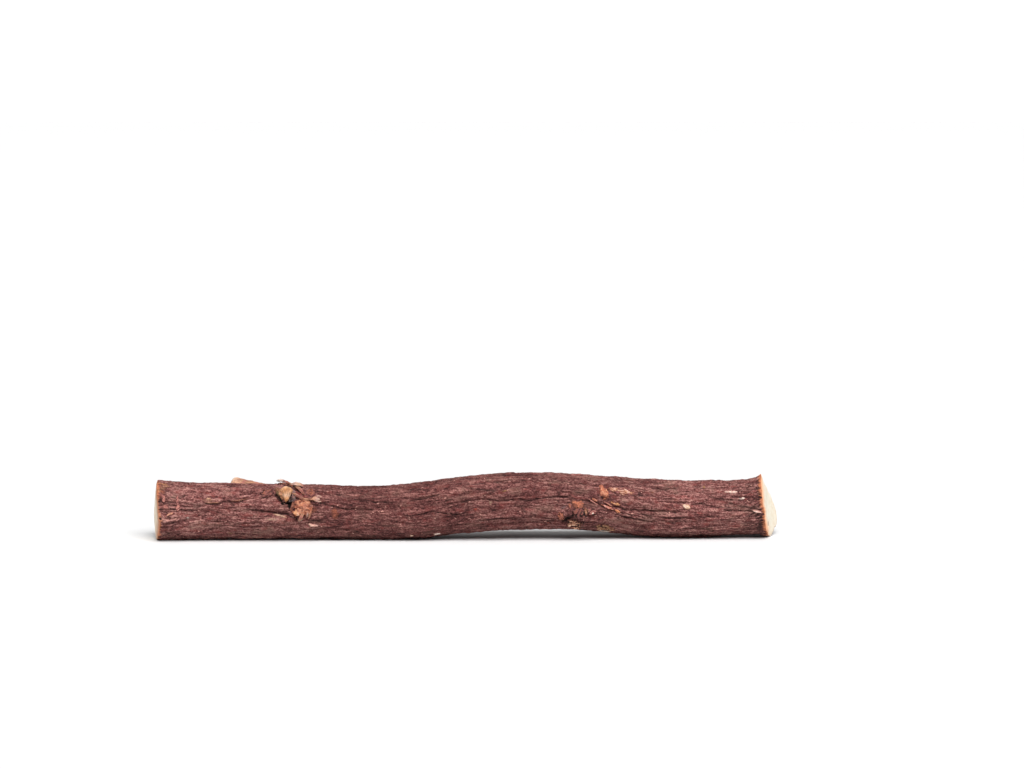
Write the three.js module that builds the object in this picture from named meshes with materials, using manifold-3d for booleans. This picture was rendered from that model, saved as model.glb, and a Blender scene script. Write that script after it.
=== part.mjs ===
// One stick of dried licorice root, cut at both ends, lying on its side.
//
// Millimetres, +Z up. +X runs along the root to its broader cut end, and the side that faces -Y carries the two knots.
// The root grew as one piece, so it is one solid: a bent tube of bark relief between two slanting cuts, with the stub
// of a side root fused to its back. "Turn" is the angle round the root from its top, growing toward -Y.

import * as THREE from "three";
import { mergeVertices } from "three/addons/utils/BufferGeometryUtils.js";
import Module from "manifold-3d";

// Driving dimensions: the outline of the root at places along it.
// Columns: x, underside, top, how far the middle line strays in depth, depth over height of the section.
const OUTLINE = [
  [-84, -0.15, 15.2, 0.3, 1.0],
  [-79, -0.1, 15.2, 0.3, 1.0],
  [-68, 0.0, 14.6, 0.4, 1.01],
  [-53, -0.2, 14.3, 0.6, 1.04],
  [-38, -0.3, 13.9, 0.5, 1.05],
  [-20, -0.35, 13.7, 0.0, 1.06],
  [-12, -0.1, 14.6, -0.4, 1.04],
  [-4, 1.1, 15.8, -0.7, 1.0],
  [8, 1.9, 16.8, -0.8, 0.99],
  [20, 2.2, 17.0, -0.6, 0.98],
  [34, 1.5, 16.1, 0.1, 1.0],
  [46, 0.25, 15.2, 0.5, 1.04],
  [55, -0.4, 14.8, 0.5, 1.06],
  [64, 0.15, 14.8, 0.3, 1.05],
  [71, 0.6, 14.9, 0.1, 1.02],
  [76, 0.4, 15.6, 0.0, 1.01],
  [82, 0.1, 16.8, 0.0, 1.01],
];
const FLOOR = 0; // the underside is worn flat where it would reach below this

// The two cuts: where each meets the middle line, how far it is turned toward the viewer and upward, in degrees, how
// far it bows out between top and underside, and how much more it is turned lower down, per mm.
const LEFT_CUT = { x: -79.1, end: -1, towardViewer: 9.5, upward: 2.5, bow: 0.35, twist: 0 };
const RIGHT_CUT = { x: 76.6, end: 1, towardViewer: 19, upward: 12, bow: 0.9, twist: 0.011 };
const CUT_FLARE = 0.25; // bark curls out this much at a cut
const CUT_FLARE_LENGTH = 2.5;

// Lengthwise wrinkles of the shrunken bark. Each family goes round the root a whole number of times, and wanders.
const WRINKLES = [
  { count: 6, depth: 0.42, wander: 0.22, wanderLength: 96, fadeLength: 61, phase: 0.7 },
  { count: 9, depth: 0.4, wander: 0.17, wanderLength: 67, fadeLength: 43, phase: 2.9 },
  { count: 13, depth: 0.36, wander: 0.14, wanderLength: 49, fadeLength: 31, phase: 5.1 },
];
const WRINKLE_SHARPNESS = 0.8; // under 1, the valleys between wrinkles are narrow and the crests broad
const WRINKLE_MIDDLE = 0.85; // the share of a wrinkle that lies inside the outline

// Cracks along the bark, as [x, turn in degrees] from end to end.
const CRACKS = [
  { depth: 0.5, width: 0.8, path: [[-1, 60], [9, 75], [19, 71], [28, 70], [34, 82], [38, 90], [47, 87], [58, 86]] },
  { depth: 0.45, width: 0.75, path: [[-53, 78], [-47, 84], [-43, 101], [-38, 107]] },
  { depth: 0.35, width: 0.7, path: [[-70, 65], [-62, 62], [-55, 52]] },
  { depth: 0.35, width: 0.7, path: [[-31, 72], [-21, 74], [-13, 60], [-7, 44]] },
  { depth: 0.4, width: 0.7, path: [[61, 43], [68, 60], [76, 66]] },
  { depth: 0.4, width: 0.8, path: [[-66, 250], [-40, 262], [-18, 247]] },
  { depth: 0.4, width: 0.8, path: [[2, 285], [26, 300], [50, 291], [72, 300]] },
  { depth: 0.35, width: 0.8, path: [[-30, 330], [-4, 342], [22, 331]] },
  { depth: 0.35, width: 0.8, path: [[10, 215], [34, 228], [60, 219]] },
];

// Scars of side roots: a swelling, and a torn hollow with a raised lip beside it.
const KNOTS = [
  { x: -44, turn: 56, long: 6.5, wide: 4.6, height: 0.9, hollow: { dx: -3.2, across: 2.4, size: 1.9, depth: 1.1 } },
  { x: 28.5, turn: 102, long: 5.0, wide: 4.2, height: 0.75, hollow: { dx: -2.4, across: 2.6, size: 1.5, depth: 1.0 } },
  { x: 38, turn: 50, long: 4.2, wide: 2.4, height: 0.4, hollow: { dx: -3.4, across: 0.2, size: 1.2, depth: 0.3 } },
  { x: 12, turn: 262, long: 6.0, wide: 4.4, height: 0.8, hollow: { dx: 1.6, across: 0.6, size: 1.7, depth: 0.8 } },
];

// The cut stub of a side root, from its root inside the main one to its tip.
const STUB = { from: [-49.5, 2.2, 10.0], to: [-60.4, 4.6, 13.1], rootRadius: 3.0, tipRadius: 2.2, sides: 16 };

// How finely the solid is divided.
const ROWS = 82;
const ROUND_STEPS = 66;
const CUT_RINGS = 3;
const STUB_RINGS = 4;

const DEGREE = Math.PI / 180;
const BARK_COLOUR = 0x8a5a54;

const gaussian = (distance, width) => Math.exp(-((distance / width) ** 2));

// Smooth curves through the outline's columns, as a function of x.
const outlineCurve = new THREE.CubicInterpolant(
  OUTLINE.map((row) => row[0]),
  OUTLINE.flatMap((row) => row.slice(1)),
  4,
  new Float32Array(4),
);

// The plain section at x: its middle and its half height and half depth.
function sectionAt(x) {
  const [underside, top, depth, depthRatio] = outlineCurve.evaluate(x);
  const halfHeight = (top - underside) / 2;
  return { y: depth, z: (top + underside) / 2, halfHeight, halfDepth: halfHeight * depthRatio };
}

// Distance over the bark between two places, by the shorter way round.
function acrossBark(turn, otherTurn, radius) {
  const difference = THREE.MathUtils.euclideanModulo(turn - otherTurn + Math.PI, 2 * Math.PI) - Math.PI;
  return difference * radius;
}

function wrinkleRelief(x, turn) {
  let relief = 0;
  for (const family of WRINKLES) {
    const along = (2 * Math.PI * x) / family.wanderLength + family.phase;
    const drift = family.wander * (Math.sin(along) + 0.4 * Math.sin(2.3 * along + turn));
    const crest = Math.abs(Math.cos((family.count * (turn + drift) + family.phase) / 2));
    const fade = 0.6 + 0.4 * Math.sin((2 * Math.PI * x) / family.fadeLength + 2 * turn + 3 * family.phase);
    relief += family.depth * fade * (crest ** WRINKLE_SHARPNESS - WRINKLE_MIDDLE);
  }
  return relief;
}

// The bark's lift from one crack: a narrow valley with a slightly raised edge, fading out at both ends.
function crackRelief(crack, x, turn, radius) {
  const first = crack.path[0][0];
  const last = crack.path.at(-1)[0];
  const beyond = Math.max(first - x, x - last, 0);
  if (beyond > 4) return 0;
  const next = Math.max(1, crack.path.findIndex((place) => place[0] >= x));
  const [[x0, turn0], [x1, turn1]] = x >= last ? crack.path.slice(-2) : crack.path.slice(next - 1, next + 1);
  const share = THREE.MathUtils.clamp((x - x0) / (x1 - x0), 0, 1);
  const eased = share * share * (3 - 2 * share);
  const away = acrossBark(turn, (turn0 + (turn1 - turn0) * eased) * DEGREE, radius);
  const valley = gaussian(away, crack.width);
  const lip = gaussian(Math.abs(away) - 2 * crack.width, crack.width);
  return crack.depth * gaussian(beyond, 2) * (0.35 * lip - valley);
}

function knotRelief(knot, x, turn, radius) {
  const dx = x - knot.x;
  const across = acrossBark(turn, knot.turn * DEGREE, radius);
  const swelling = Math.exp(-((dx / knot.long) ** 2) - (across / knot.wide) ** 2);
  const { hollow } = knot;
  const fromHollow = Math.hypot((dx - hollow.dx) * 0.7, across - hollow.across);
  const torn = gaussian(fromHollow, hollow.size);
  const lip = gaussian(fromHollow - 1.7 * hollow.size, 0.7 * hollow.size);
  return knot.height * swelling - hollow.depth * torn + 0.35 * hollow.depth * lip;
}

// The slanting surface of a cut, as the x at which it lies for a given y and z.
function cutAt(cut, y, z) {
  const middle = sectionAt(cut.x);
  const turned = Math.tan(cut.towardViewer * DEGREE) - cut.twist * (z - middle.z);
  const lean = turned * (y - middle.y);
  const tilt = Math.tan(cut.upward * DEGREE) * (z - middle.z);
  const bow = cut.bow * (1 - ((z - middle.z) / middle.halfHeight) ** 2);
  return cut.x + cut.end * (lean - tilt + bow);
}

// A point of the bark, before the underside is worn flat.
function barkPoint(x, turn) {
  const section = sectionAt(x);
  const radius = (section.halfHeight + section.halfDepth) / 2;
  let relief = wrinkleRelief(x, turn);
  for (const crack of CRACKS) relief += crackRelief(crack, x, turn, radius);
  for (const knot of KNOTS) relief += knotRelief(knot, x, turn, radius);
  for (const cut of [LEFT_CUT, RIGHT_CUT]) relief += CUT_FLARE * gaussian(x - cut.x, CUT_FLARE_LENGTH);
  const y = section.y - (section.halfDepth + relief) * Math.sin(turn);
  const z = section.z + (section.halfHeight + relief) * Math.cos(turn);
  return new THREE.Vector3(x, y, Math.max(z, FLOOR));
}

// Where the bark meets a cut at a given turn: the point moves along the root until it lies in the cut's plane.
function rimPoint(cut, turn) {
  let point = barkPoint(cut.x, turn);
  for (let step = 0; step < 8; step++) point = barkPoint(cutAt(cut, point.y, point.z), turn);
  return point.setX(cutAt(cut, point.y, point.z));
}

// Rings over a cut, from its middle to just inside its rim.
function cutRings(cut, rim) {
  const middle = sectionAt(cut.x);
  return Array.from({ length: CUT_RINGS - 1 }, (_, ring) =>
    rim.map((point) => {
      const share = (ring + 1) / CUT_RINGS;
      const y = THREE.MathUtils.lerp(middle.y, point.y, share);
      const z = THREE.MathUtils.lerp(middle.z, point.z, share);
      return new THREE.Vector3(cutAt(cut, y, z), y, z);
    }),
  );
}

// The root between its cuts: rings from the middle of one cut over the bark to the middle of the other.
function rootGeometry() {
  const turns = Array.from({ length: ROUND_STEPS }, (_, step) => (2 * Math.PI * step) / ROUND_STEPS);
  const leftRim = turns.map((turn) => rimPoint(LEFT_CUT, turn));
  const rightRim = turns.map((turn) => rimPoint(RIGHT_CUT, turn));
  const rings = [...cutRings(LEFT_CUT, leftRim), leftRim];
  for (let row = 1; row < ROWS; row++) {
    const along = (step) => THREE.MathUtils.lerp(leftRim[step].x, rightRim[step].x, row / ROWS);
    rings.push(turns.map((turn, step) => barkPoint(along(step), turn)));
  }
  rings.push(rightRim, ...cutRings(RIGHT_CUT, rightRim).reverse());

  const [leftMiddle, rightMiddle] = [LEFT_CUT, RIGHT_CUT].map((cut) => {
    const { y, z } = sectionAt(cut.x);
    return new THREE.Vector3(cutAt(cut, y, z), y, z);
  });
  const points = [...rings.flat(), leftMiddle, rightMiddle];
  const [left, right] = [points.length - 2, points.length - 1];
  const index = [];
  for (let step = 0; step < ROUND_STEPS; step++) {
    const next = (step + 1) % ROUND_STEPS;
    for (let ring = 0; ring < rings.length - 1; ring++) {
      const [a, b] = [ring * ROUND_STEPS + step, ring * ROUND_STEPS + next];
      index.push(a, b, a + ROUND_STEPS, b, b + ROUND_STEPS, a + ROUND_STEPS);
    }
    const lastRing = (rings.length - 1) * ROUND_STEPS;
    index.push(left, next, step, right, lastRing + step, lastRing + next);
  }
  const geometry = new THREE.BufferGeometry().setFromPoints(points);
  return geometry.setIndex(index);
}

// The side root's stub: a tapered round peg whose root end is buried in the main root.
function stubGeometry() {
  const from = new THREE.Vector3(...STUB.from);
  const to = new THREE.Vector3(...STUB.to);
  const along = to.clone().sub(from);
  const peg = new THREE.CylinderGeometry(STUB.tipRadius, STUB.rootRadius, along.length(), STUB.sides, STUB_RINGS);
  peg.applyQuaternion(new THREE.Quaternion().setFromUnitVectors(new THREE.Vector3(0, 1, 0), along.normalize()));
  const middle = from.add(to).multiplyScalar(0.5);
  return peg.translate(middle.x, middle.y, middle.z);
}

const wasm = await Module();
wasm.setup();

function solidFrom(geometry) {
  const bare = new THREE.BufferGeometry();
  bare.setAttribute("position", geometry.getAttribute("position"));
  bare.setIndex(geometry.index);
  const merged = mergeVertices(bare, 1e-4);
  return new wasm.Manifold(
    new wasm.Mesh({
      numProp: 3,
      vertProperties: merged.attributes.position.array,
      triVerts: new Uint32Array(merged.index.array),
    }),
  );
}

function geometryFrom(solid) {
  const mesh = solid.getMesh();
  const geometry = new THREE.BufferGeometry();
  geometry.setAttribute("position", new THREE.BufferAttribute(mesh.vertProperties, 3));
  geometry.setIndex(new THREE.BufferAttribute(mesh.triVerts, 1));
  geometry.computeVertexNormals();
  return geometry;
}

function licoriceRoot() {
  const geometry = geometryFrom(solidFrom(rootGeometry()).add(solidFrom(stubGeometry())));
  const material = new THREE.MeshStandardMaterial({ color: BARK_COLOUR, roughness: 0.85, metalness: 0 });
  const mesh = new THREE.Mesh(geometry, material);
  mesh.name = "licorice_root";
  return mesh;
}

// The frame's origin is under the middle of the whole root, on the surface that it lies on.
const group = new THREE.Group();
const root = licoriceRoot();
const box = new THREE.Box3().setFromObject(root);
const centre = box.getCenter(new THREE.Vector3());
root.position.set(-centre.x, -centre.y, -box.min.z);
group.add(root);

export default group;
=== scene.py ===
"""A cut stick of dried licorice root: bark, cut faces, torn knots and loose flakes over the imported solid.

Named sizes are millimetres and degrees, in the frame's axes. "Turn" goes round the root from its top
toward -Y.
"""
import math

import bpy
import numpy as np
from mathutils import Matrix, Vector
from mathutils.bvhtree import BVHTree

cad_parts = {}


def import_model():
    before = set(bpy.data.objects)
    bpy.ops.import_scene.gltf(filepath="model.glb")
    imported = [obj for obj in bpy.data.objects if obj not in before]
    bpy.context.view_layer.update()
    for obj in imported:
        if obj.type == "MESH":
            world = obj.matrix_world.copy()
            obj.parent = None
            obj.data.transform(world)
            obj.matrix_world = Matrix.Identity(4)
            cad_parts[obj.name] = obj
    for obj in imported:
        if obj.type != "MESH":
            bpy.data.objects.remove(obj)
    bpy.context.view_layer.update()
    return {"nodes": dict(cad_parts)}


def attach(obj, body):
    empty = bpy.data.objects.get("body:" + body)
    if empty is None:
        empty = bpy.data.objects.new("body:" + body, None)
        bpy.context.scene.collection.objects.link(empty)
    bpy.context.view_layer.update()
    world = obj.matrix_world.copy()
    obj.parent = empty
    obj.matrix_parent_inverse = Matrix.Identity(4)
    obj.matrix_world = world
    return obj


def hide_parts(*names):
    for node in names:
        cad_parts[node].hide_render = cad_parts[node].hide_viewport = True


MM = 0.001

# The root's rough sizes.
ROOT_LENGTH = 161
ROOT_GIRTH = 47
MEAN_RADIUS = 7.5

# Camera: degrees and millimetres, but its clipping in metres.
CAMERA_LENS = 100
CAMERA_SENSOR = 36
CAMERA_CLIP = (0.05, 100)
CAMERA_PIVOT = (0, 0, 7.5)
CAMERA_DISTANCE = 730
CAMERA_TURN = -0.8
CAMERA_ABOVE = 8
CAMERA_PAN = 1.735
CAMERA_PITCH = -5.485

# Light: the fill comes from all round, the rest from wide soft suns: energy, spread, turn.
FILL_LIGHT = 0.14
SUNS = {"key": (4.7, 46, (38, 0, 16)), "overhead": (0.55, 70, (4, -10, 0))}
FLOOR_TONE = 0.71
FLOOR_SIDE = 60  # metres
SURROUND_RADIUS = 28  # metres
SURROUND_GLOW = 1.1

# Where the middle of the section is measured: places along x, and half the thickness of a slice.
MIDDLE_PLACES = np.arange(-76.0, 77.0, 2.0)
HALF_SLICE = 1.3
RIM_SEARCH = (72.0, 84.0)  # each rim is looked for between these distances from the middle

# Bark mesh.
ROWS = 400
ROUND = 244
RIM_MARGIN = 0.65  # the form isn't read nearer than this to a rim
STUB_SPAN = (-66.0, -43.0)  # where the solid's side-root stub stands on the bark
STUB_TURNS = (-62.0, 12.0)
FORM_BLUR = (0.9, 0.35)  # softens the solid's facets, along and round

# How far the wrinkles stray round the root: cell length, number of cells round, distance.
DRIFT = [(17, 9, 0.9), (6, 26, 0.3)]

# Wrinkles: cell length, number of cells round, depth, share of the cell that the valley takes.
VALLEYS = [
    (15.0, 20, 0.24, 0.15),
    (9.0, 34, 0.22, 0.17),
    (4.5, 56, 0.17, 0.22),
    (2.0, 84, 0.12, 0.3),
]
VALLEY_FADE = (11, 7, 0.45)  # cell length, number of cells round, share
# painted shade in the wrinkles' valleys
VALLEY_SHADE = 2.2  # darkness for each mm of depth

# Swells: cell length, number of cells round, height.
SWELLS = [(12.0, 16, 0.10), (4.0, 40, 0.08), (1.7, 56, 0.09), (0.95, 96, 0.09)]

# The ragged edges of the patches, along and round: cell length, number of cells round, distance.
RAGGED_ALONG = [(0.9, 64, 0.35), (0.45, 120, 0.2)]
RAGGED_ROUND = [(0.8, 60, 0.3), (0.45, 120, 0.15)]

# The tip above the right cut: turn, half width in degrees, length, height.
RIM_TIP = (3, 17, 3.4, 1.05)
# The furrows at the rims: depth, reach.
RIM_FURROWS = (0.46, 4.2)

# How far each rim strays from the solid's cut, as (turn, x).
RIM_STRAY = {
    -1: [(0, 0.2), (33, 0.12), (52, 0.1), (71, 0.53), (84, 0.6), (95, 0.75), (112, 1.0), (132, 0.85),
         (150, 0.6), (170, 0.35), (210, 0.5), (232, 0.7), (248, 0.5), (260, 0.55), (275, 0.75), (295, 1.1),
         (315, 1.2), (335, 0.9)],
    1: [(0, 0.0), (45, 0.3), (78, 0.15), (95, 0.45), (120, 0.15), (165, 0.0), (200, 0.15), (225, 0.15),
        (250, -0.1), (270, -0.35), (290, -0.55), (320, -0.4)],
}

# Cracks: depth, half width, path of (x, turn). They waver by: cell length, number of cells round, distance.
CRACK_WAVER = (1.6, 50, 0.22)
# painted shade in the cracks
CRACK_SHADE = 1.1  # darkness of a whole crack
CRACKS = [
    (0.50, 0.20, [(-6, 78), (2, 73), (4, 72), (8, 80), (13.4, 79), (15.5, 82), (21.5, 74), (26.4, 70),
                  (28, 76)]),
    (0.50, 0.22, [(28, 76), (32, 79), (35, 87), (38, 85), (40.5, 91), (46, 88), (49.5, 89), (56, 90)]),
    (0.35, 0.20, [(43, 97), (48.3, 99), (52.4, 102), (58, 99), (66, 100)]),
    (0.30, 0.18, [(2, 120), (6, 118), (10, 116), (14, 119)]),
    (0.45, 0.17, [(-67.2, 66), (-65, 68), (-62.7, 67), (-61.5, 62), (-57.6, 63), (-54.4, 54)]),
    (0.45, 0.18, [(-76, 79), (-73.6, 79), (-72.6, 81), (-68.7, 81), (-65, 83)]),
    (0.55, 0.22, [(-56, 78), (-54, 80), (-49, 86), (-45, 89), (-42.7, 105)]),
    (0.80, 0.22, [(-45.6, 68), (-44.6, 78), (-43.6, 88), (-42.6, 102)]),
    (0.45, 0.18, [(-46.2, 8), (-44.6, 24), (-43.2, 36), (-41.2, 47)]),
    (0.90, 0.32, [(24.2, 137), (25.4, 130), (26.4, 121), (27.4, 108)]),
    (0.35, 0.18, [(-31.3, 52), (-26, 54), (-23.3, 61), (-16.6, 63)]),
    (0.40, 0.18, [(-37.4, 64), (-32.3, 74), (-30.3, 77), (-26.5, 76), (-21.8, 78)]),
    (0.50, 0.25, [(-14.5, 61), (-12.8, 60), (-9.5, 57), (-6.2, 54)]),
    (0.35, 0.20, [(-16, 94), (-11, 91), (-8.2, 88), (-4.4, 97), (-0.6, 105)]),
    (0.45, 0.20, [(47, 38), (52, 40), (54.4, 34)]),
    (0.45, 0.20, [(61.3, 57), (63.8, 63), (68.9, 67), (70.3, 70)]),
    (0.35, 0.16, [(55.3, 78), (59.4, 74), (61.7, 78), (64, 80)]),
    (0.35, 0.16, [(65.8, 87), (71.5, 91), (74, 94)]),
    (0.30, 0.18, [(36, 97), (39.5, 104), (44, 110), (50, 113)]),
    (0.30, 0.16, [(33, 84), (36.5, 93), (40, 99), (43, 101)]),
    (0.45, 0.20, [(-66, 250), (-58, 258), (-40, 262), (-27, 255), (-18, 247)]),
    (0.45, 0.20, [(2, 285), (14, 290), (26, 300), (38, 296), (50, 291), (62, 296), (72, 300)]),
    (0.40, 0.20, [(-30, 330), (-16, 338), (-4, 342), (10, 338), (22, 331)]),
    (0.40, 0.20, [(10, 215), (22, 222), (34, 228), (48, 224), (60, 219)]),
    (0.40, 0.20, [(-74, 300), (-62, 296), (-52, 301), (-40, 290)]),
    (0.40, 0.20, [(-24, 200), (-10, 206), (0, 199)]),
]

# The slot in the right cut, painted dark bark as painted shade: y, z, half width, half height, depth.
FACE_SLOT = (-2.2, 3.7, 0.55, 0.7, 0.35)

# The cut wood is warm toward the viewer: the least warmth, and how many degrees before the top it sets in.
FACE_WARMTH = (0.12, 10)

# The cut faces' meshes: rings from the rim inward, where between middle and rim the solid's cut is sampled,
# how much the edge is rounded over, and their rays: cell length, number of cells round, strength.
FACE_RINGS = 26
FACE_SAMPLES = (0.15, 0.45, 0.75)
FACE_ROUNDING = 0.16
FACE_RAYS = [(6.0, 90, 1.0), (2.0, 150, 0.5)]

# Painted shadow: how much darker the bark is painted along the root, most over its middle: x, share.
SHADOW_ALONG = [(-76, 0.04), (-50, 0.1), (-32, 0.52), (-12, 0.56), (4, 0.42), (28, 0.36), (44, 0.14), (60, 0.0)]

# Colours as the eye sees them.
COLOURS = {
    "dark bark": (63, 29, 27),
    "bark": (136, 82, 79),
    "dusty bark": (208, 152, 141),
    "red bark": (154, 70, 64),
    "grey bark": (112, 92, 77),
    "fleck": (220, 162, 147),
    # the colour of the painted shadow along the root
    "shade": (152, 116, 116),
    "orange": (184, 106, 78),
    "bright orange": (224, 160, 112),
    "brown": (136, 82, 64),
    "red streak": (205, 92, 72),
    "tan": (198, 142, 112),
    "beige": (224, 182, 154),
    "pale": (216, 172, 158),
    "white": (244, 230, 216),
    "yellow": (204, 154, 96),
    "gold": (236, 165, 108),
    "olive": (122, 98, 66),
    "grey": (128, 118, 118),
    "black": (30, 18, 16),
    "pink": (186, 118, 106),
    "wood": (226, 219, 203),
    "wood shade": (214, 199, 173),
    "old wood": (251, 236, 213),
    "old wood shade": (234, 213, 184),
    "peach": (240, 186, 146),
    "rim": (204, 128, 90),
}

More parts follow.
